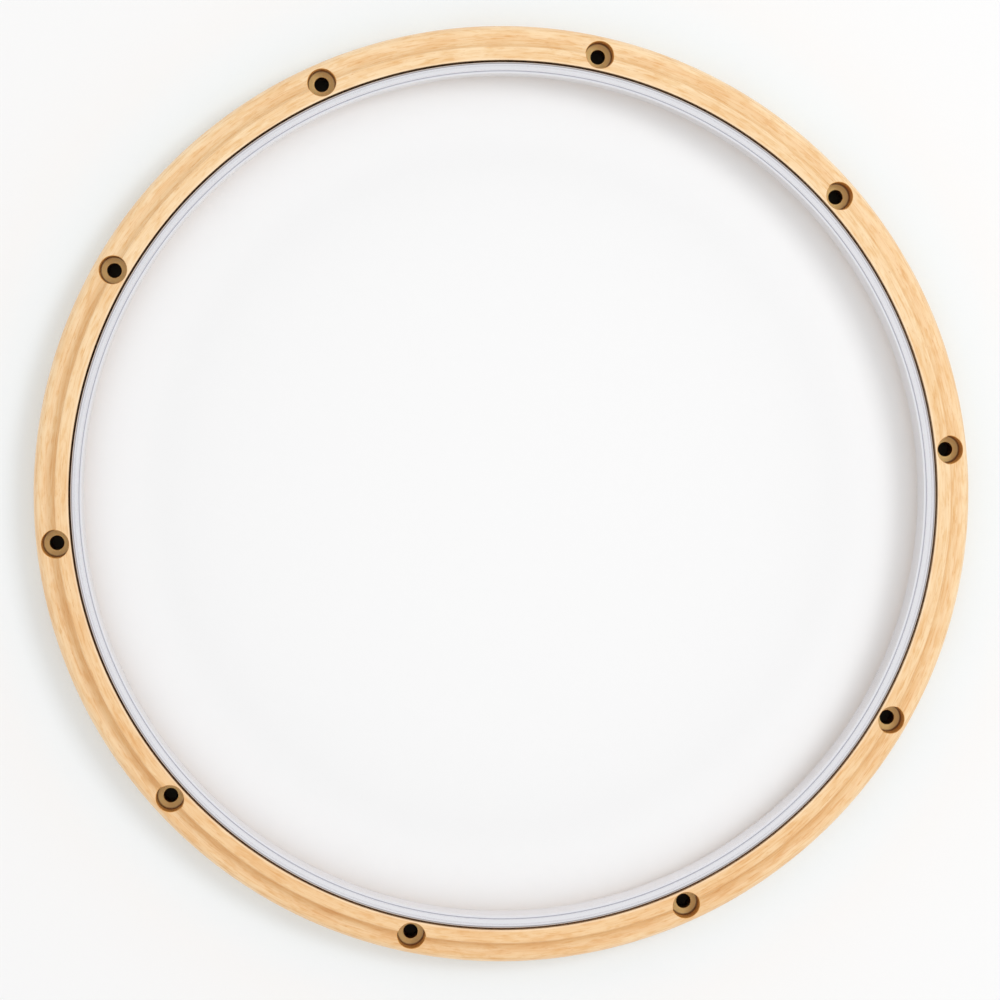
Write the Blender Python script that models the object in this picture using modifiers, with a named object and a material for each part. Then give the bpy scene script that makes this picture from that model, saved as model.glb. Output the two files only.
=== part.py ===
"""Wooden counterhoop of a 14 inch drum, with ten tension-rod holes and a metal liner ring.

The hoop is bent from thick maple plies, glued face to face, and its outer edge is
moulded afterwards with a hollow cove and a round bead.  A metal ring lines the bore:
its top is flush with the wood, and its foot spreads out under the innermost ply,
where it presses on the flesh hoop of the drumhead.

Origin: centre of the underside.  +Z points away from the drum.  Units: metres.
"""

from math import acos, asin, cos, pi, radians, sin

import bmesh
import bpy
from mathutils import Matrix

MM = 0.001

# Driving dimensions of the hoop
HEIGHT = 28.0 * MM            # underside to top land
OUTER_RADIUS = 199.0 * MM     # widest part of the bead
BORE_RADIUS = 183.6 * MM      # inner face of the innermost ply
PLY_THICKNESS = 3.4 * MM      # the outermost ply is thinner, as the edge is moulded
PLY_COUNT = 5
GLUE_GAP = 0.3 * MM           # clearance between neighbouring pieces

# Edge moulding, from the land outwards: two quarter ellipses that meet on a ply joint
LAND_RADIUS = 189.4 * MM
COVE_END = BORE_RADIUS + 3 * PLY_THICKNESS
COVE_WIDTH = COVE_END - LAND_RADIUS
COVE_DEPTH = 6.0 * MM
BEAD_WIDTH = OUTER_RADIUS - COVE_END
BEAD_DEPTH = 7.0 * MM
CURVE_STEPS = 4               # straight pieces to each ply's curved top
FOOT_CHAMFER = 0.8 * MM       # bottom outer edge

# Nest for the drumhead's flesh hoop, under the innermost ply
NEST_PLIES = 1
NEST_HEIGHT = 9.6 * MM

# Tension-rod holes
ROD_COUNT = 10
ROD_CIRCLE_RADIUS = 190.4 * MM
ROD_HOLE_RADIUS = 3.1 * MM
ROD_SEAT_RADIUS = 5.95 * MM
ROD_SEAT_HEIGHT = 12.4 * MM   # floor of the counterbore
CUT_MARGIN = 3.0 * MM         # how far the cutters pass the wood
CUTTER_SIDES = 24

# Metal liner ring
LINER_OUTER_RADIUS = 182.75 * MM
LINER_LIP_WIDTH = 0.75 * MM
LINER_SHOULDER_RADIUS = 179.3 * MM
LINER_SHOULDER_DROP = 2.9 * MM
LINER_INNER_RADIUS = 178.3 * MM
LINER_WALL_DROP = 4.8 * MM
LINER_FOOT_RADIUS = 186.4 * MM
LINER_FOOT_THICKNESS = 1.8 * MM
LINER_EDGE = 0.4 * MM         # small breaks on the liner's corners

TURN_STEPS = 80               # facets round the hoop, a multiple of ROD_COUNT
MERGE_DISTANCE = 0.00001
SHARP_ANGLE = radians(30)     # corners stay sharp above this


def clear_scene():
    """Remove every object of the open scene."""
    for leftover in list(bpy.data.objects):
        bpy.data.objects.remove(leftover, do_unlink=True)


def new_collection(name):
    """A collection of this name, linked under the scene."""
    collection = bpy.data.collections.new(name)
    bpy.context.scene.collection.children.link(collection)
    return collection


def principled(name, colour, roughness, metallic=0.0):
    """A plain Principled material."""
    material = bpy.data.materials.new(name)
    material.use_nodes = True
    shader = material.node_tree.nodes["Principled BSDF"]
    shader.inputs["Base Color"].default_value = (*colour, 1.0)
    shader.inputs["Roughness"].default_value = roughness
    shader.inputs["Metallic"].default_value = metallic
    return material


def cove_point(turn):
    """Point of the hollow cove: it starts steep at the land and ends level."""
    return COVE_END - COVE_WIDTH * cos(turn), HEIGHT - COVE_DEPTH * sin(turn)


def bead_point(turn):
    """Point of the round bead: it starts level and ends steep on the outer wall."""
    return COVE_END + BEAD_WIDTH * sin(turn), HEIGHT - COVE_DEPTH - BEAD_DEPTH * (1 - cos(turn))


def ply_radii(index):
    """Inner and outer radius of a ply; only faces glued to a neighbour give way."""
    inner = BORE_RADIUS + index * PLY_THICKNESS
    outer = min(inner + PLY_THICKNESS, OUTER_RADIUS)
    if index > 0:
        inner += GLUE_GAP / 2
    if index < PLY_COUNT - 1:
        outer -= GLUE_GAP / 2
    return inner, outer


def crown_points(inner, outer):
    """Points along a ply's moulded top, from its inner to its outer face."""
    if outer <= LAND_RADIUS:
        return [(inner, HEIGHT), (outer, HEIGHT)]
    if inner < COVE_END:
        curve = cove_point
        first = acos(min(1.0, (COVE_END - inner) / COVE_WIDTH))
        last = acos((COVE_END - outer) / COVE_WIDTH)
    else:
        curve = bead_point
        first = asin((inner - COVE_END) / BEAD_WIDTH)
        last = asin((outer - COVE_END) / BEAD_WIDTH)
    points = [(inner, HEIGHT)] if inner < LAND_RADIUS else []
    for step in range(CURVE_STEPS + 1):
        points.append(curve(first + (last - first) * step / CURVE_STEPS))
    return points


def ply_section(index):
    """Closed section of a ply, outer face first, running down."""
    inner, outer = ply_radii(index)
    foot = NEST_HEIGHT if index < NEST_PLIES else 0.0
    crown = crown_points(inner, outer)
    section = [crown[-1]]
    if index == PLY_COUNT - 1:
        section += [(outer, FOOT_CHAMFER), (outer - FOOT_CHAMFER, foot)]
    else:
        section += [(outer, foot)]
    section += [(inner, foot)]
    return section + crown[:-1]


def liner_section():
    """Closed section of the liner ring, outer face first, running down."""
    foot_top = NEST_HEIGHT - GLUE_GAP
    foot = foot_top - LINER_FOOT_THICKNESS
    lip_inner = LINER_OUTER_RADIUS - LINER_LIP_WIDTH
    return [
        (LINER_OUTER_RADIUS - LINER_EDGE / 2, HEIGHT),
        (LINER_OUTER_RADIUS, HEIGHT - LINER_EDGE),
        (LINER_OUTER_RADIUS, foot_top),
        (LINER_FOOT_RADIUS, foot_top),
        (LINER_FOOT_RADIUS, foot),
        (LINER_INNER_RADIUS + LINER_EDGE, foot),
        (LINER_INNER_RADIUS, foot + LINER_EDGE),
        (LINER_INNER_RADIUS, HEIGHT - LINER_WALL_DROP),
        (LINER_SHOULDER_RADIUS, HEIGHT - LINER_SHOULDER_DROP),
        (lip_inner - LINER_EDGE, HEIGHT - LINER_EDGE),
        (lip_inner, HEIGHT),
    ]


def turned_ring(name, section, material, collection):
    """A ring turned about Z from a closed section in the XZ plane."""
    mesh = bpy.data.meshes.new(name)
    points = [(radius, 0.0, height) for radius, height in section]
    edges = [(i, (i + 1) % len(points)) for i in range(len(points))]
    mesh.from_pydata(points, edges, [])
    mesh.materials.append(material)
    ring = bpy.data.objects.new(name, mesh)
    collection.objects.link(ring)

    turn = ring.modifiers.new("turn", "SCREW")
    turn.axis = "Z"
    turn.angle = 2 * pi
    turn.steps = TURN_STEPS
    turn.render_steps = TURN_STEPS
    turn.use_merge_vertices = True
    turn.merge_threshold = MERGE_DISTANCE
    return ring


def rod_cutters(name, radius, floor, ceiling, collection):
    """One cutter with a cylinder for each tension rod."""
    bm = bmesh.new()
    to_circle = Matrix.Translation((ROD_CIRCLE_RADIUS, 0.0, (ceiling + floor) / 2))
    for rod in range(ROD_COUNT):
        around = Matrix.Rotation(2 * pi * rod / ROD_COUNT, 4, "Z")
        bmesh.ops.create_cone(
            bm, cap_ends=True, segments=CUTTER_SIDES, radius1=radius, radius2=radius,
            depth=ceiling - floor, matrix=around @ to_circle)
    mesh = bpy.data.meshes.new(name)
    bm.to_mesh(mesh)
    bm.free()
    cutter = bpy.data.objects.new(name, mesh)
    cutter.display_type = "WIRE"
    cutter.hide_render = True
    collection.objects.link(cutter)
    return cutter


def drill(ply, cutter):
    """Cut a cutter's cylinders out of a ply."""
    cut = ply.modifiers.new(cutter.name, "BOOLEAN")
    cut.operation = "DIFFERENCE"
    cut.solver = "EXACT"
    cut.object = cutter


def finish(ring):
    """Apply a ring's modifiers and shade it smooth, with sharp corners."""
    evaluated = ring.evaluated_get(bpy.context.evaluated_depsgraph_get())
    mesh = bpy.data.meshes.new_from_object(evaluated)
    ring.modifiers.clear()
    ring.data = mesh
    mesh.shade_smooth()
    mesh.set_sharp_from_angle(angle=SHARP_ANGLE)


def build_plies(parts, cutters):
    """The maple plies, from the bore outwards, drilled where the rods pass."""
    seats = rod_cutters("rod_seat_cutter", ROD_SEAT_RADIUS,
                        ROD_SEAT_HEIGHT, HEIGHT + CUT_MARGIN, cutters)
    bores = rod_cutters("rod_bore_cutter", ROD_HOLE_RADIUS,
                        -CUT_MARGIN, ROD_SEAT_HEIGHT + CUT_MARGIN, cutters)
    drills = ((seats, ROD_SEAT_RADIUS), (bores, ROD_HOLE_RADIUS))
    for index in range(PLY_COUNT):
        name = f"maple_ply_{index + 1}"
        tint = 0.04 * (index % 2)
        maple = principled(name, (0.86 - tint, 0.64 - tint, 0.38 - tint), roughness=0.45)
        ply = turned_ring(name, ply_section(index), maple, parts)
        inner, outer = ply_radii(index)
        for cutter, radius in drills:
            if inner < ROD_CIRCLE_RADIUS + radius and outer > ROD_CIRCLE_RADIUS - radius:
                drill(ply, cutter)
        finish(ply)


def build_liner(parts):
    """The polished ring inside the wood."""
    metal = principled("polished_metal", (0.80, 0.81, 0.84), roughness=0.18, metallic=1.0)
    finish(turned_ring("liner_ring", liner_section(), metal, parts))


def main():
    clear_scene()
    parts = new_collection("drum_counterhoop")
    cutters = new_collection("cutters")
    build_plies(parts, cutters)
    build_liner(parts)


main()
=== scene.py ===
"""Looks of a 14 inch drum's wooden counterhoop: moulded maple, drilled rod seats, polished liner.

Everything is in metres, in the hoop's own frame: the origin is the centre of the
underside, +Z points away from the drum and +X runs through the first rod hole.
Two pieces are built, the wooden ring and the metal liner.  Each is a section
worked out as an array of points and turned about Z.
"""

import bmesh
import bpy
import numpy as np
from mathutils import Matrix, Vector


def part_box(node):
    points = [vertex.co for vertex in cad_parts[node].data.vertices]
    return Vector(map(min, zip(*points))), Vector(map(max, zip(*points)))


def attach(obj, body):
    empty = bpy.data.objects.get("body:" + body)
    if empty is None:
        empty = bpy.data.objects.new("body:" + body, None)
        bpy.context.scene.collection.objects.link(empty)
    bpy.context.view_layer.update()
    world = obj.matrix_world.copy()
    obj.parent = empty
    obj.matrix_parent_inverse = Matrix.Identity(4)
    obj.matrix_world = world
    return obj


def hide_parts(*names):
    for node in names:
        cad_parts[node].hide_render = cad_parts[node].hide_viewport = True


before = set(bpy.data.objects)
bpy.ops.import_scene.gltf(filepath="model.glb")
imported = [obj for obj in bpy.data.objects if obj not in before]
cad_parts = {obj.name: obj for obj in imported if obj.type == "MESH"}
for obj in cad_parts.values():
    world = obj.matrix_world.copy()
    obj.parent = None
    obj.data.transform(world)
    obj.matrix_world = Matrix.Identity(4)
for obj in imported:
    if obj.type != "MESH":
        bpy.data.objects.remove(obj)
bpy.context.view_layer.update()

MM = 0.001
TURN = 2 * np.pi
WELD = 0.001 * MM                 # points closer than this are one

# --- sizes that the frame gives ---
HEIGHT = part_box("maple_ply_1")[1][2]
OUTER_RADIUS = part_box("maple_ply_5")[1][0]
NEST_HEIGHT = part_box("maple_ply_1")[0][2]
LINER_FOOT_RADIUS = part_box("liner_ring")[1][0]
LINER_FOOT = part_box("liner_ring")[0][2]

# --- the wooden ring ---
BORE_RADIUS = 183.6 * MM
PLY_THICKNESS = 3.4 * MM
NEST_RADIUS = BORE_RADIUS + PLY_THICKNESS
LAND_RADIUS = 189.4 * MM          # outer edge of the flat land
COVE_END = BORE_RADIUS + 3 * PLY_THICKNESS
COVE_DEPTH = 6.0 * MM
BEAD_DEPTH = 9.0 * MM
BEAD_POWER = 2.5                  # 2 is an ellipse, more is squarer
LAND_ROUND = 1.0 * MM             # sanded outer corner of the land
EDGE_ROUND = 0.20 * MM            # sanded inner corners
FOOT_ROUND = 0.9 * MM             # bottom outer corner
WOOD_STEP = 2.2 * MM              # longest step across a plain stretch of wood
BEAD_STEPS = 32                   # rows from the cove's end to the outer wall
ROW_GAP = 0.05 * MM               # least step from a seat's outermost row to the next
WOOD_COLUMNS = 48                 # columns from one rod hole to the next
CROWDING = 0.6                    # how far the columns crowd towards the holes

# --- the rod holes ---
ROD_COUNT = 10
ROD_PITCH = TURN / ROD_COUNT
ROD_CIRCLE = 190.4 * MM
ROD_HOLE = 3.1 * MM
ROD_SEAT = 5.95 * MM
SEAT_HEIGHT = 12.4 * MM           # floor of the seat, above the underside
SEAT_ROUND = 0.5 * MM             # corner between the seat's wall and floor
RIM_ROUND = 0.2 * MM              # broken edge of each drilled hole

# --- the liner ---
LINER_OUTER = 182.75 * MM
LINER_INNER = 178.3 * MM
LINER_LIP_ROUND = 0.68 * MM
LINER_BEAD_ROUND = 0.56 * MM
LINER_HEEL_ROUND = 0.5 * MM
LINER_TOE_ROUND = 0.4 * MM
LINER_CHAMFER = 0.2 * MM
NEST_CLEARANCE = 0.3 * MM         # between the liner's foot and the ply above it
LINER_COLUMNS = 720
GROOVE_LINE = 181.3 * MM          # painted shade in the groove at the foot of the lip
CREASE_LINE = 179.25 * MM         # painted shade in the crease at the shoulder
LIP_LINE = 182.15 * MM            # dark line along the top of the lip


# ---------------------------------------------------------------- mesh helpers

def add(name, data):
    """A new object in the scene."""
    added = bpy.data.objects.new(name, data)
    bpy.context.scene.collection.objects.link(added)
    return added


def make_piece(name, points, quads, material, replaced, sharp):
    """A closed, smooth-shaded object from point and quad arrays, welded, facing outwards."""
    mesh = bpy.data.meshes.new(name)
    mesh.from_pydata(points.tolist(), [], quads.tolist())
    bm = bmesh.new()
    bm.from_mesh(mesh)
    bmesh.ops.remove_doubles(bm, verts=bm.verts, dist=WELD)
    bmesh.ops.recalc_face_normals(bm, faces=bm.faces)
    bm.to_mesh(mesh)
    bm.free()
    mesh.shade_smooth()
    mesh.set_sharp_from_angle(angle=np.radians(sharp))
    mesh.materials.append(material)
    piece = add(name, mesh)
    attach(piece, "root")
    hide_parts(*replaced)
    return piece


def grid_quads(rows, columns, start=0, wrap_rows=False, wrap_columns=False):
    """Corner numbers of a rows x columns grid of points; either way may close on itself."""
    number = start + np.arange(rows * columns).reshape(rows, columns)
    if wrap_rows:
        number = np.vstack([number, number[:1]])
    if wrap_columns:
        number = np.hstack([number, number[:, :1]])
    corners = number[:-1, :-1], number[:-1, 1:], number[1:, 1:], number[1:, :-1]
    return np.stack(corners, axis=-1).reshape(-1, 4)


def arc(centre, radius, start, stop, steps):
    """Section points of an arc: centre + radius (cos t, sin t), t in degrees."""
    turn = np.radians(np.linspace(start, stop, steps + 1))
    return np.column_stack([centre[0] + radius * np.cos(turn), centre[1] + radius * np.sin(turn)])


def between(first, last, step):
    """Points on the straight line between two section points, ends left out."""
    first, last = np.asarray(first), np.asarray(last)
    count = max(1, int(np.ceil(np.linalg.norm(last - first) / step)))
    share = np.linspace(0, 1, count + 1)[1:-1, None]
    return first + share * (last - first)


def closed_section(runs):
    """Join (points, step) runs into one loop; the straight after each is filled at its step."""
    loop = []
    for (run, step), (following, _) in zip(runs, runs[1:] + runs[:1]):
        loop += [run, between(run[-1], following[0], step)]
    return np.vstack(loop)


def turned(radius, angle, height):
    """Points (r cos angle, r sin angle, z) from arrays that broadcast together."""
    return np.stack(np.broadcast_arrays(radius * np.cos(angle), radius * np.sin(angle), height), axis=-1)


# ------------------------------------------------------------- the wooden ring

def crown(radius):
    """Height of the moulded top over a radius.

    Land: HEIGHT, with its outer corner a quarter circle of LAND_ROUND.  Cove: a
    quarter ellipse, steep at the land and level at its end.  Bead: a quarter of
    a superellipse of BEAD_POWER, level at the cove and steep at the outer wall.
    """
    round_start = LAND_RADIUS - LAND_ROUND
    into_round = np.clip((radius - round_start) / LAND_ROUND, 0, 1)
    land = HEIGHT - LAND_ROUND * (1 - np.sqrt(1 - into_round ** 2))
    into_cove = np.clip((COVE_END - radius) / (COVE_END - LAND_RADIUS), 0, 1)
    cove = HEIGHT - LAND_ROUND - (COVE_DEPTH - LAND_ROUND) * np.sqrt(1 - into_cove ** 2)
    into_bead = np.clip((radius - COVE_END) / (OUTER_RADIUS - COVE_END), 0, 1)
    fall = 1 - (1 - into_bead ** BEAD_POWER) ** (1 / BEAD_POWER)
    bead = HEIGHT - COVE_DEPTH - BEAD_DEPTH * fall
    return np.where(radius < LAND_RADIUS, land, np.where(radius < COVE_END, cove, bead))


def rim_radius(turn, hole):
    """Distance from the hoop's axis of a hole's rim at an angle round the hole (0 is outwards).

    Law of cosines: r^2 = R^2 + h^2 + 2 R h cos(turn).
    """
    return np.sqrt(ROD_CIRCLE ** 2 + hole ** 2 + 2 * ROD_CIRCLE * hole * np.cos(turn))


def hole_half_angle(radius, hole):
    """Angle at the hoop's axis from a hole's middle to its wall, on the circle of that radius.

    Law of cosines: cos e = (r^2 + R^2 - h^2) / 2rR; nought where the circle misses the hole.
    """
    cosine = (radius ** 2 + ROD_CIRCLE ** 2 - hole ** 2) / (2 * radius * ROD_CIRCLE)
    return np.where(np.abs(radius - ROD_CIRCLE) < hole, np.arccos(np.clip(cosine, -1, 1)), 0.0)


def hole_turns(steps=32, closest=0.03):
    """Angles round a rod hole, 0 to 180 degrees, at which the ring's rows meet its rim.

    Even steps, joined by those at which the rim crosses the land's round corner
    and the cove's steep start; an even step too close to one of these gives way.
    """
    even = np.linspace(0, np.pi, steps + 1)
    rim = ROD_SEAT + RIM_ROUND
    corner = LAND_RADIUS - LAND_ROUND * (1 - np.sin(np.radians([0, 20, 40, 58, 74])))
    steep = LAND_RADIUS + (COVE_END - LAND_RADIUS) * (1 - np.cos(np.radians([0, 8, 16, 24, 32, 42])))
    crossed = np.concatenate([corner, steep])
    kink = np.arccos((crossed ** 2 - ROD_CIRCLE ** 2 - rim ** 2) / (2 * ROD_CIRCLE * rim))
    away = np.abs(even[:, None] - kink).min(axis=1) > closest
    return np.sort(np.concatenate([even[away], kink]))


def wood_rows():
    """(radius, height, hole half-angle) of each row round the wooden ring's section.

    The loop runs outwards over the crown, down the outer wall, inwards under the
    foot, up the nest and the bore.  Rows that meet the drilled holes stop at them.
    """
    turns = hole_turns()[::-1]
    seat_rim, hole_rim = ROD_SEAT + RIM_ROUND, ROD_HOLE + RIM_ROUND
    seat_rows = rim_radius(turns, seat_rim)
    bead_turn = np.radians(np.linspace(0, 90, BEAD_STEPS + 1))
    bead = COVE_END + (OUTER_RADIUS - COVE_END) * np.sin(bead_turn) ** (2 / BEAD_POWER)
    past_seat = bead[bead > seat_rows[-1] + ROW_GAP]
    crown_rows = np.concatenate([seat_rows, past_seat])
    hole_rows = rim_radius(turns, hole_rim)[::-1]

    inner_corner = arc((BORE_RADIUS + EDGE_ROUND, HEIGHT - EDGE_ROUND), EDGE_ROUND, 180, 90, 4)
    top = np.column_stack([crown_rows, crown(crown_rows)])
    foot = arc((OUTER_RADIUS - FOOT_ROUND, FOOT_ROUND), FOOT_ROUND, 0, -90, 5)
    under = np.column_stack([hole_rows, np.zeros_like(hole_rows)])
    nest = [(NEST_RADIUS + EDGE_ROUND, 0.0), (NEST_RADIUS, EDGE_ROUND),
            (NEST_RADIUS, NEST_HEIGHT), (BORE_RADIUS + EDGE_ROUND, NEST_HEIGHT),
            (BORE_RADIUS, NEST_HEIGHT + EDGE_ROUND)]

    runs = [inner_corner, top, foot, under] + [np.array([point]) for point in nest]
    gaps = [0.0, hole_half_angle(crown_rows, seat_rim), 0.0, hole_half_angle(hole_rows, hole_rim)]
    gaps += [0.0] * len(nest)
    rows = []
    for run, gap, following in zip(runs, gaps, runs[1:] + runs[:1]):
        fill = between(run[-1], following[0], WOOD_STEP)
        rows.append(np.column_stack([run, np.broadcast_to(gap, len(run))]))
        rows.append(np.column_stack([fill, np.zeros(len(fill))]))
    return np.vstack(rows)


def wood_shell():
    """Skin of the wooden ring between the holes: rows x columns for each pitch of the rods.

    theta = k pitch + e + u (pitch - 2 e), where e is the row's hole half-angle and
    u = t - c sin(2 pi t) / 2 pi crowds the columns towards both holes.
    """
    radius, height, gap = wood_rows().T[:, None, :, None]
    t = np.linspace(0, 1, WOOD_COLUMNS + 1)
    u = t - CROWDING * np.sin(TURN * t) / TURN
    sector = np.arange(ROD_COUNT)[:, None, None] * ROD_PITCH
    theta = sector + gap + u * (ROD_PITCH - 2 * gap)
    points = turned(radius, theta, height).reshape(-1, 3)
    rows, columns = radius.shape[1], len(t)
    starts = np.arange(ROD_COUNT) * rows * columns
    quads = [grid_quads(rows, columns, start=start, wrap_rows=True) for start in starts]
    return points, np.vstack(quads)


def hole_section():
    """(radius, height) down a rod hole below its seat wall: corner, floor, lip, shaft, lower rim."""
    floor = arc((ROD_SEAT - SEAT_ROUND, SEAT_HEIGHT + SEAT_ROUND), SEAT_ROUND, 0, -90, 4)
    lip = arc((ROD_HOLE + RIM_ROUND, SEAT_HEIGHT - RIM_ROUND), RIM_ROUND, 90, 180, 3)
    bottom = arc((ROD_HOLE + RIM_ROUND, RIM_ROUND), RIM_ROUND, 180, 270, 3)
    flat, shaft = between(floor[-1], lip[0], 1 * MM), between(lip[-1], bottom[0], 3 * MM)
    return np.vstack([floor, flat, lip, shaft, bottom])


def hole_linings(wall_steps=8):
    """Walls of the ten drilled holes: ring of rim angles x steps down the hole, for each rod.

    The radius from the rod's axis follows a stepped section: broken rim, seat wall,
    seat floor, bore and broken lower rim.  The rim's height follows the crown.
    """
    half = hole_turns()
    around = np.concatenate([half, TURN - half[-2:0:-1]])[:, None]
    broken = np.radians(np.linspace(0, 90, 4))
    rim_r = ROD_SEAT + RIM_ROUND * (1 - np.sin(broken))
    rim_drop = RIM_ROUND * (1 - np.cos(broken))
    lower = hole_section()

    mouth = crown(np.round(rim_radius(around, ROD_SEAT + RIM_ROUND), 9))
    wall_top = mouth - RIM_ROUND
    share = np.linspace(0, 1, wall_steps + 1)[1:]
    wall = wall_top + share * (lower[0, 1] - wall_top)
    floor_down = np.tile(lower[1:, 1], (len(around), 1))
    height = np.hstack([mouth - rim_drop, wall, floor_down])
    radii = np.concatenate([rim_r, np.full(wall_steps, ROD_SEAT), lower[1:, 0]])

    x = ROD_CIRCLE + radii * np.cos(around)
    y = radii * np.sin(around)
    rod = np.arange(ROD_COUNT)[:, None, None] * ROD_PITCH
    points = turned(np.hypot(x, y), np.arctan2(y, x) + rod, height).reshape(-1, 3)
    starts = np.arange(ROD_COUNT) * height.size
    quads = [grid_quads(*height.shape, start=start, wrap_rows=True) for start in starts]
    return points, np.vstack(quads)


def build_wood(material):
    """The glued maple ring as one skin, in place of its five plies."""
    shell, shell_quads = wood_shell()
    linings, lining_quads = hole_linings()
    points = np.vstack([shell, linings])
    quads = np.vstack([shell_quads, lining_quads + len(shell)])
    plies = [f"maple_ply_{n}" for n in range(1, 6)]
    return make_piece("moulded_maple_ring", points, quads, material, plies, sharp=35)


# ------------------------------------------------------------------- the liner

def liner_rows():
    """Section of the polished liner: lip, groove, slope, crease, bead, inner wall and foot."""
    foot_top = NEST_HEIGHT - NEST_CLEARANCE
    fine, coarse = 0.3 * MM, 2.5 * MM

    def at(radius, drop):
        """A section point by its radius and its depth below the land, in millimetres."""
        return radius * MM, HEIGHT - drop * MM

    lip = arc((LINER_OUTER - LINER_LIP_ROUND, HEIGHT - LINER_LIP_ROUND), LINER_LIP_ROUND, 0, 162, 14)
    groove = np.array([at(181.34, 0.72), at(181.22, 0.95), at(181.06, 1.12)])
    crease = np.array([at(179.70, 2.45), at(179.46, 2.75), at(179.36, 3.05), at(179.32, 3.38)])
    bead = arc(at(178.86, 3.80), LINER_BEAD_ROUND, 40, 182, 14)
    heel_centre = (LINER_INNER + LINER_HEEL_ROUND, LINER_FOOT + LINER_HEEL_ROUND)
    heel = arc(heel_centre, LINER_HEEL_ROUND, 180, 270, 6)
    toe_centre = (LINER_FOOT_RADIUS - LINER_TOE_ROUND, LINER_FOOT + LINER_TOE_ROUND)
    toe = arc(toe_centre, LINER_TOE_ROUND, -90, 0, 5)
    toe_top = np.array([(LINER_FOOT_RADIUS, foot_top - LINER_CHAMFER),
                        (LINER_FOOT_RADIUS - LINER_CHAMFER, foot_top)])
    instep = np.array([(LINER_OUTER + LINER_CHAMFER, foot_top), (LINER_OUTER, foot_top + LINER_CHAMFER)])
    return closed_section([(lip, fine), (groove, fine), (crease, fine), (bead, coarse),
                           (heel, coarse), (toe, coarse), (toe_top, coarse), (instep, coarse)])


def build_liner(material):
    """The liner, its section turned about Z: (r cos theta, r sin theta, z)."""
    radius, height = liner_rows().T[:, :, None]
    theta = np.arange(LINER_COLUMNS) * TURN / LINER_COLUMNS
    points = turned(radius, theta, height).reshape(-1, 3)
    quads = grid_quads(len(radius), LINER_COLUMNS, wrap_rows=True, wrap_columns=True)
    return make_piece("polished_liner", points, quads, material, ["liner_ring"], sharp=50)


# -------------------------------------------------------------- shader writing

class Value:
    """A shader socket with arithmetic: each operator adds a Math node."""

    def __init__(self, nodes, socket):
        self.nodes, self.socket = nodes, socket

    def math(self, operation, *others):
        """This value and the others through one Math node."""
        return self.nodes.math(operation, self, *others)

    def __add__(self, other):
        return self.math("ADD", other)

    def __sub__(self, other):
        return self.math("SUBTRACT", other)

    def __rsub__(self, other):
        return self.nodes.math("SUBTRACT", other, self)

    def __mul__(self, other):
        return self.math("MULTIPLY", other)

    def __truediv__(self, other):
        return self.math("DIVIDE", other)

    def __rtruediv__(self, other):
        return self.nodes.math("DIVIDE", other, self)

    def __pow__(self, other):
        return self.math("POWER", other)

    def __rpow__(self, other):
        return self.nodes.math("POWER", other, self)

    __radd__ = __add__
    __rmul__ = __mul__


class Nodes:
    """The node tree of one Principled material."""

    def __init__(self, name, **constants):
        self.material = bpy.data.materials.new(name)
        self.material.use_nodes = True
        self.tree = self.material.node_tree
        self.shader = self.tree.nodes["Principled BSDF"]
        self.finish(**constants)

    def make(self, kind, settings=(), inputs=()):
        """Add a node, set its settings, then its inputs by place or by name."""
        node = self.tree.nodes.new(kind)
        for setting, value in dict(settings).items():
            setattr(node, setting, value)
        pairs = inputs.items() if isinstance(inputs, dict) else enumerate(inputs)
        for socket, value in pairs:
            self.feed(node.inputs[socket], value)
        return node

    def feed(self, socket, value):
        """Link a value to a socket, or set the socket to a number or colour."""
        if isinstance(value, Value):
            self.tree.links.new(value.socket, socket)
        else:
            socket.default_value = value

    def value(self, kind, settings=(), inputs=(), output=0):
        """One output of a new node, as a value."""
        return Value(self, self.make(kind, settings, inputs).outputs[output])

    def math(self, operation, *values):
        """Values or numbers through one Math node."""
        return self.value("ShaderNodeMath", {"operation": operation}, values)

    def place(self):
        """x, y and z of the point, in the hoop's frame."""
        where = self.value("ShaderNodeTexCoord", output="Object")
        split = self.make("ShaderNodeSeparateXYZ", (), (where,))
        return [Value(self, axis) for axis in split.outputs]

    def vector(self, x, y, z):
        """A vector of three values."""
        return self.value("ShaderNodeCombineXYZ", (), (x, y, z))

    def noise(self, vector, w=None, scale=1.0, detail=2.0):
        """Smooth noise between 0 and 1, mostly near 0.5; w gives a fourth direction."""
        inputs = {"Vector": vector, "Scale": scale, "Detail": detail, "Roughness": 0.5}
        if w is None:
            return self.value("ShaderNodeTexNoise", {"noise_dimensions": "3D"}, inputs)
        return self.value("ShaderNodeTexNoise", {"noise_dimensions": "4D"}, {**inputs, "W": w})

    def ramp(self, value, low, high):
        """0 at low, 1 at high, smooth between; low may be above high."""
        return self.value("ShaderNodeMapRange", {"interpolation_type": "SMOOTHSTEP"},
                          {"Value": value, "From Min": low, "From Max": high})

    def mix(self, factor, first, second, blend="MIX"):
        """Colour between first and second."""
        return self.value("ShaderNodeMix", {"data_type": "RGBA", "blend_type": blend},
                          {0: factor, 6: first, 7: second}, output=2)

    def darken(self, factor, colour, by):
        """Colour multiplied by another, as far as factor says."""
        return self.mix(factor, colour, by, blend="MULTIPLY")

    def bump(self, height, distance):
        """A normal tilted by a height pattern; distance is the height of 1, in metres."""
        return self.value("ShaderNodeBump", (), {"Strength": 1.0, "Distance": distance, "Height": height})

    def finish(self, **sockets):
        """Set or link the shader's sockets; an underscore stands for a space."""
        for socket, value in sockets.items():
            self.feed(self.shader.inputs[socket.replace("_", " ")], value)


def linear(red, green, blue):
    """A linear colour from display values of 0 to 255."""
    shade = np.array([red, green, blue]) / 255
    shade = np.where(shade < 0.04045, shade / 12.92, ((shade + 0.055) / 1.055) ** 2.4)
    return (*shade.tolist(), 1.0)


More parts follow.
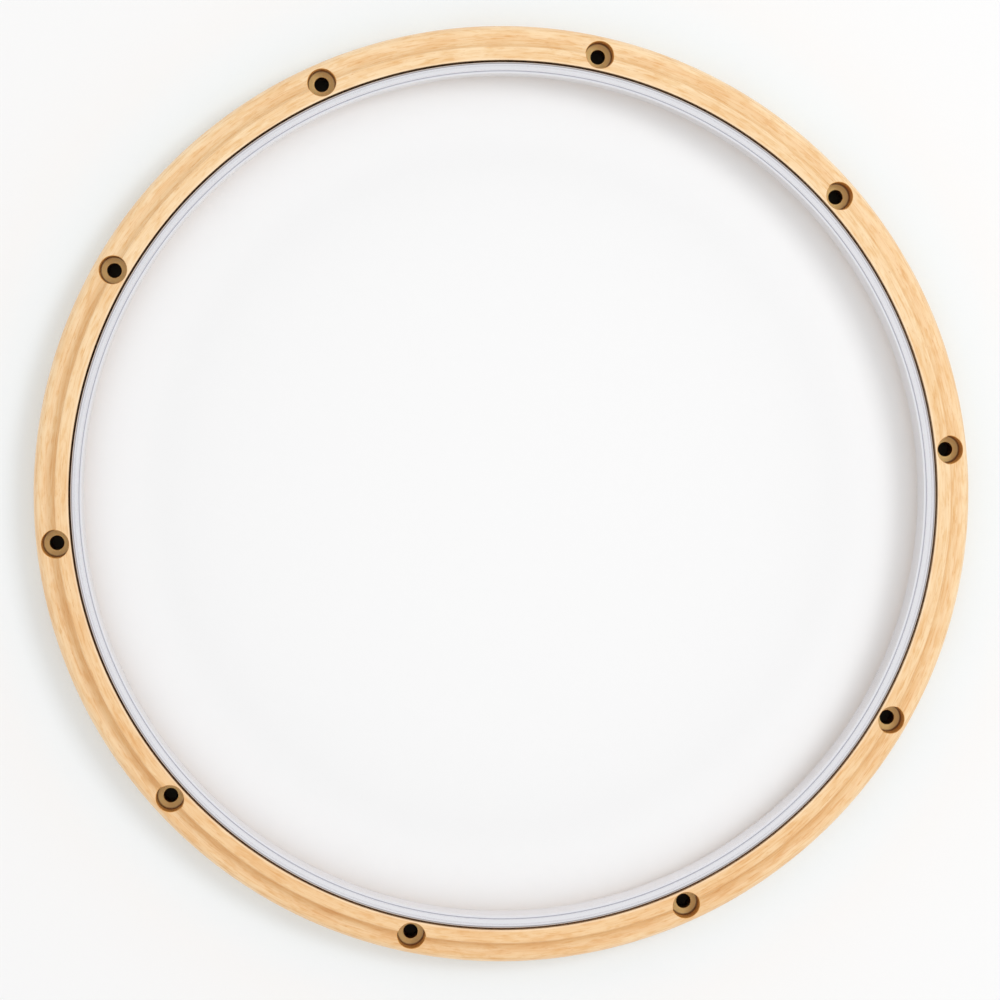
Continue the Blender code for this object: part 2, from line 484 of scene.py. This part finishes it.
# ------------------------------------------------------------------- materials

MAPLE_PALE, MAPLE_DEEP = linear(249, 219, 176), linear(242, 203, 152)
STREAK, MOTTLE, FLECK = linear(236, 210, 166), linear(240, 219, 180), linear(216, 176, 120)
GLUE_LINE = linear(215, 175, 130)
# Painted shade for the cove, and for the side of the ring away from the light
COVE_SHADE, SHADED_SIDE_TONE = linear(233, 208, 158), linear(250, 240, 228)
# A paler band along the land's inner edge
PALE_EDGE_TONE = linear(255, 232, 200)

SEAT_WALL, SEAT_WALL_DARK = linear(246, 196, 108), linear(190, 120, 50)
SEAT_FLOOR, SEAT_FLOOR_DARK = linear(255, 244, 180), linear(255, 220, 136)
# Painted shade for the corner of each seat and down each bore; a darker tone for the top of the seat wall
SEAT_CORNER_SHADE, TOP_OF_WALL_TONE, BORE_SHADE = linear(112, 54, 14), linear(140, 74, 24), linear(96, 68, 42)

# Painted shade for the liner's groove and crease, and a dark line painted along the top of its lip
METAL, METAL_SHADE, LIP_LINE_TONE = linear(239, 239, 243), linear(186, 186, 194), linear(150, 142, 140)

# The lit side of the hoop, where the wood is painted palest in place of the light's sheen, as a direction
# from the axis
LIT_SIDE = (0.397, 0.917)


def rod_distance(x, y, radius):
    """Distance of the point from the axis of the nearest rod hole."""
    turn = y.math("ARCTAN2", x) / ROD_PITCH + 0.5
    aside = (turn.math("FRACT") - 0.5) * ROD_PITCH
    along = radius * aside.math("COSINE") - ROD_CIRCLE
    across = radius * aside.math("SINE")
    return (along * along + across * across) ** 0.5


def drilled(wood, z, distance, fleck):
    """Colour inside a rod hole: scorched seat wall, painted shade along the corner, clean floor, painted
    shade down the bore, darker towards the top of the wall.
    """
    scorch = wood.noise(wood.vector(fleck * 2.0, distance * 900.0, z * 1100.0), detail=3.0)
    corner = SEAT_HEIGHT + SEAT_ROUND
    on_floor = wood.ramp(z, corner, corner - 0.3 * MM)
    wall = wood.mix(scorch, SEAT_WALL, SEAT_WALL_DARK)
    colour = wood.mix(on_floor, wall, wood.mix(scorch, SEAT_FLOOR, SEAT_FLOOR_DARK))
    # Painted shade along the corner between the seat's wall and floor
    near_corner = wood.ramp(z, corner + 2.4 * MM, corner - 0.1 * MM)
    near_wall = wood.ramp(distance, ROD_SEAT - 0.85 * MM, ROD_SEAT - 0.25 * MM)
    colour = wood.mix(near_corner * near_wall * 0.85, colour, SEAT_CORNER_SHADE)
    # Darker towards the top of the seat wall
    near_wall_top = wood.ramp(z, HEIGHT - 3.5 * MM, HEIGHT - 0.5 * MM)
    colour = wood.mix(near_wall_top * scorch * 0.8, colour, TOP_OF_WALL_TONE)
    # Painted shade down the bore
    in_bore = wood.ramp(z, SEAT_HEIGHT - 0.05 * MM, SEAT_HEIGHT - 0.5 * MM)
    return wood.mix(in_bore, colour, BORE_SHADE)


def maple():
    """Lacquered maple: grain that follows the bend, faint plies, flecks, scorched drill walls, painted
    shade in the cove and the holes, and one side painted darker, away from the light.
    """
    wood = Nodes("lacquered_maple", Roughness=0.45, Coat_Weight=0.12, Coat_Roughness=0.30)
    x, y, z = wood.place()
    radius = (x * x + y * y) ** 0.5
    cosine, sine = x / radius, y / radius

    def bent(along, across, detail, offset=0.0):
        """Noise that changes along times in a radian round the hoop and across times in a metre."""
        ring = wood.vector(cosine * along, sine * along, radius * across)
        return wood.noise(ring, w=z * across + offset, detail=detail)

    broad = bent(9.0, 260.0, 2.0)
    streak = bent(22.0, 1500.0, 3.0, offset=7.0)
    pores = bent(60.0, 3000.0, 2.0, offset=19.0)
    mottle = bent(34.0, 700.0, 2.0, offset=31.0)
    colour = wood.mix(wood.ramp(broad, 0.35, 0.68), MAPLE_PALE, MAPLE_DEEP)
    colour = wood.darken(wood.ramp(streak, 0.45, 0.72) * 0.55, colour, STREAK)
    colour = wood.darken(wood.ramp(mottle, 0.48, 0.66) * 0.45, colour, MOTTLE)
    colour = wood.darken(wood.ramp(pores, 0.62, 0.74) * 0.55, colour, FLECK)

    # Glue lines between the plies
    ply = (radius - BORE_RADIUS) / PLY_THICKNESS
    joint = wood.ramp(ply.math("FRACT").math("PINGPONG", 0.5), 0.03, 0.0)
    colour = wood.darken(joint * 0.35, colour, GLUE_LINE)

    # Painted shade: the cove is darker than the land and the bead, most on the side away from the light,
    # and that side of the ring is painted darker than the lit side
    shaded_side = wood.ramp(cosine * LIT_SIDE[0] + sine * LIT_SIDE[1], 0.6, -0.9)
    cove = wood.ramp(radius, LAND_RADIUS - 0.6 * MM, LAND_RADIUS + 0.4 * MM)
    cove = cove * wood.ramp(radius, COVE_END + 0.4 * MM, LAND_RADIUS + 1.2 * MM)
    colour = wood.darken(cove * (shaded_side * 0.30 + 0.28), colour, COVE_SHADE)
    on_land = wood.ramp(radius, COVE_END + 1.0 * MM, LAND_RADIUS) * 0.5 + 0.5
    colour = wood.darken(shaded_side * on_land, colour, SHADED_SIDE_TONE)
    # A paler band along the land's inner edge
    near_inner_edge = wood.ramp(radius, BORE_RADIUS + 1.1 * MM, BORE_RADIUS + 0.3 * MM)
    colour = wood.mix(near_inner_edge * 0.45, colour, PALE_EDGE_TONE)

    # A hole's colours, in its seat and, below that, in its narrower bore, with painted shade in the
    # seat's corner and down the bore
    distance = rod_distance(x, y, radius)
    in_seat = wood.ramp(distance, ROD_SEAT + 0.30 * MM, ROD_SEAT + 0.12 * MM)
    in_seat = in_seat * wood.ramp(z, SEAT_HEIGHT - 0.30 * MM, SEAT_HEIGHT - 0.15 * MM)
    in_bore = wood.ramp(distance, ROD_HOLE + 0.27 * MM, ROD_HOLE + 0.20 * MM)
    colour = wood.mix(in_seat.math("MAXIMUM", in_bore), colour, drilled(wood, z, distance, pores))

    wood.finish(Base_Color=colour, Normal=wood.bump(streak + pores * 0.3, 0.04 * MM))
    return wood.material


def polished():
    """Polished metal with fine turning lines round the ring, painted shade in its groove and crease, and
    a dark line along the top of its lip.
    """
    metal = Nodes("polished_metal", Metallic=1.0)
    x, y, z = metal.place()
    radius = (x * x + y * y) ** 0.5
    ring = metal.vector(x / radius * 3.0, y / radius * 3.0, radius * 2600.0)
    lines = metal.noise(ring, w=z * 2600.0)
    smear = metal.noise(metal.vector(x, y, z), scale=40.0, detail=3.0)

    def line(middle, half):
        """1 on the circle of that radius, falling to 0 at half on either side."""
        return metal.ramp((radius - middle).math("ABSOLUTE"), half, 0.0)

    upper = metal.ramp(z, HEIGHT - 7.0 * MM, HEIGHT - 6.0 * MM)
    # Painted shade in the groove and the crease
    crease_shade = (line(GROOVE_LINE, 0.45 * MM) + line(CREASE_LINE, 0.50 * MM)) * upper * 0.28
    colour = metal.darken(crease_shade, METAL, METAL_SHADE)
    # A dark line painted along the top of the lip
    colour = metal.darken(line(LIP_LINE, 0.42 * MM) * upper * 0.9, colour, LIP_LINE_TONE)
    metal.finish(Base_Color=colour, Roughness=metal.ramp(smear, 0.35, 0.75) * 0.10 + 0.14,
                 Normal=metal.bump(lines, 0.003 * MM))
    return metal.material


def floor_paint():
    """Matt white, painted paler inside the ring to lift the shade there, painted cooler beside the warm
    wood to cancel its warm bounce light, and painted dark where the hoop stands and no light gets in.
    """
    paint = Nodes("white_sweep", Roughness=0.9)
    x, y, _ = paint.place()
    radius = (x * x + y * y) ** 0.5
    white, dark = (0.91, 0.91, 0.91, 1.0), (0.07, 0.06, 0.045, 1.0)
    inside, outside = (0.985, 0.985, 0.985, 1.0), (0.87, 0.94, 0.99, 1.0)
    # Painted light: paler inside the ring, lifting the shade there
    colour = paint.mix(paint.ramp(radius, 140.0 * MM, 172.0 * MM), white, inside)
    # Painted light: cooler beside the wood, cancelling its warm bounce light
    colour = paint.mix(paint.ramp(radius, 188.0 * MM, 190.0 * MM), colour, outside)
    colour = paint.mix(paint.ramp(radius, OUTER_RADIUS, 236.0 * MM), colour, white)
    # Painted shade: dark under the hoop, where no light gets in
    under_hoop_shade = paint.ramp(radius, 185.5 * MM, 186.5 * MM) * paint.ramp(radius, 197.5 * MM, 196.5 * MM)
    paint.finish(Base_Color=paint.mix(under_hoop_shade, colour, dark))
    return paint.material


# --------------------------------------------------------- floor, light, camera

FLOOR_HALF = 4.0
FLOOR_DROP = 0.02 * MM            # keeps the floor clear of the wood's underside

# Places of the camera and the light are (right, up, height), which as_seen turns
VIEW_TURN = np.radians(5.9)       # the hoop lies turned by this on the table
CAMERA_PLACE = (-0.080, 0.055, 1.505)
CAMERA_AIM = (-0.00202, -0.00155, 0.020)
CAMERA_LENS = 126.41
CAMERA_SENSOR = 36.0

SKY_STRENGTH = 0.90
KEY_PLACE = (0.96, 0.43, 1.90)
KEY_SIZE = 0.70
KEY_POWER = 9.0


def build_floor():
    """A plain pale floor under the hoop."""
    corners = [(-1, -1), (1, -1), (1, 1), (-1, 1)]
    points = [(x * FLOOR_HALF, y * FLOOR_HALF, -FLOOR_DROP) for x, y in corners]
    mesh = bpy.data.meshes.new("floor")
    mesh.from_pydata(points, [], [(0, 1, 2, 3)])
    mesh.materials.append(floor_paint())
    floor = add("floor", mesh)


def as_seen(right, up, height):
    """A place given by the camera's right and up, in the hoop's frame."""
    cosine, sine = np.cos(VIEW_TURN), np.sin(VIEW_TURN)
    return Vector((right * cosine + up * sine, up * cosine - right * sine, height))


def build_camera():
    """Almost straight above, a little up and to the left."""
    camera = add("camera", bpy.data.cameras.new("camera"))
    camera.data.sensor_width = CAMERA_SENSOR
    camera.data.lens = CAMERA_LENS
    camera.data.clip_end = 20
    camera.location = as_seen(*CAMERA_PLACE)
    back = (camera.location - as_seen(*CAMERA_AIM)).normalized()
    right = as_seen(0, 1, 0).cross(back).normalized()
    turn = Matrix([right, back.cross(right), back]).transposed()
    camera.rotation_mode = "QUATERNION"
    camera.rotation_quaternion = turn.to_quaternion()
    bpy.context.scene.camera = camera


def build_light():
    """Soft daylight all round, with one large soft light from the upper right."""
    world = bpy.data.worlds.new("studio")
    world.use_nodes = True
    background = world.node_tree.nodes["Background"]
    background.inputs["Color"].default_value = (1.0, 1.0, 1.0, 1.0)
    background.inputs["Strength"].default_value = SKY_STRENGTH
    bpy.context.scene.world = world

    light = bpy.data.lights.new("key", "AREA")
    light.shape = "SQUARE"
    light.size = KEY_SIZE
    light.energy = KEY_POWER
    key = add("key", light)
    key.location = as_seen(*KEY_PLACE)
    key.rotation_mode = "QUATERNION"
    key.rotation_quaternion = (-key.location).to_track_quat("-Z", "Y")
    key.visible_glossy = False
    bpy.context.scene.view_settings.view_transform = "Standard"


build_wood(maple())
build_liner(polished())
build_floor()
build_light()
build_camera()
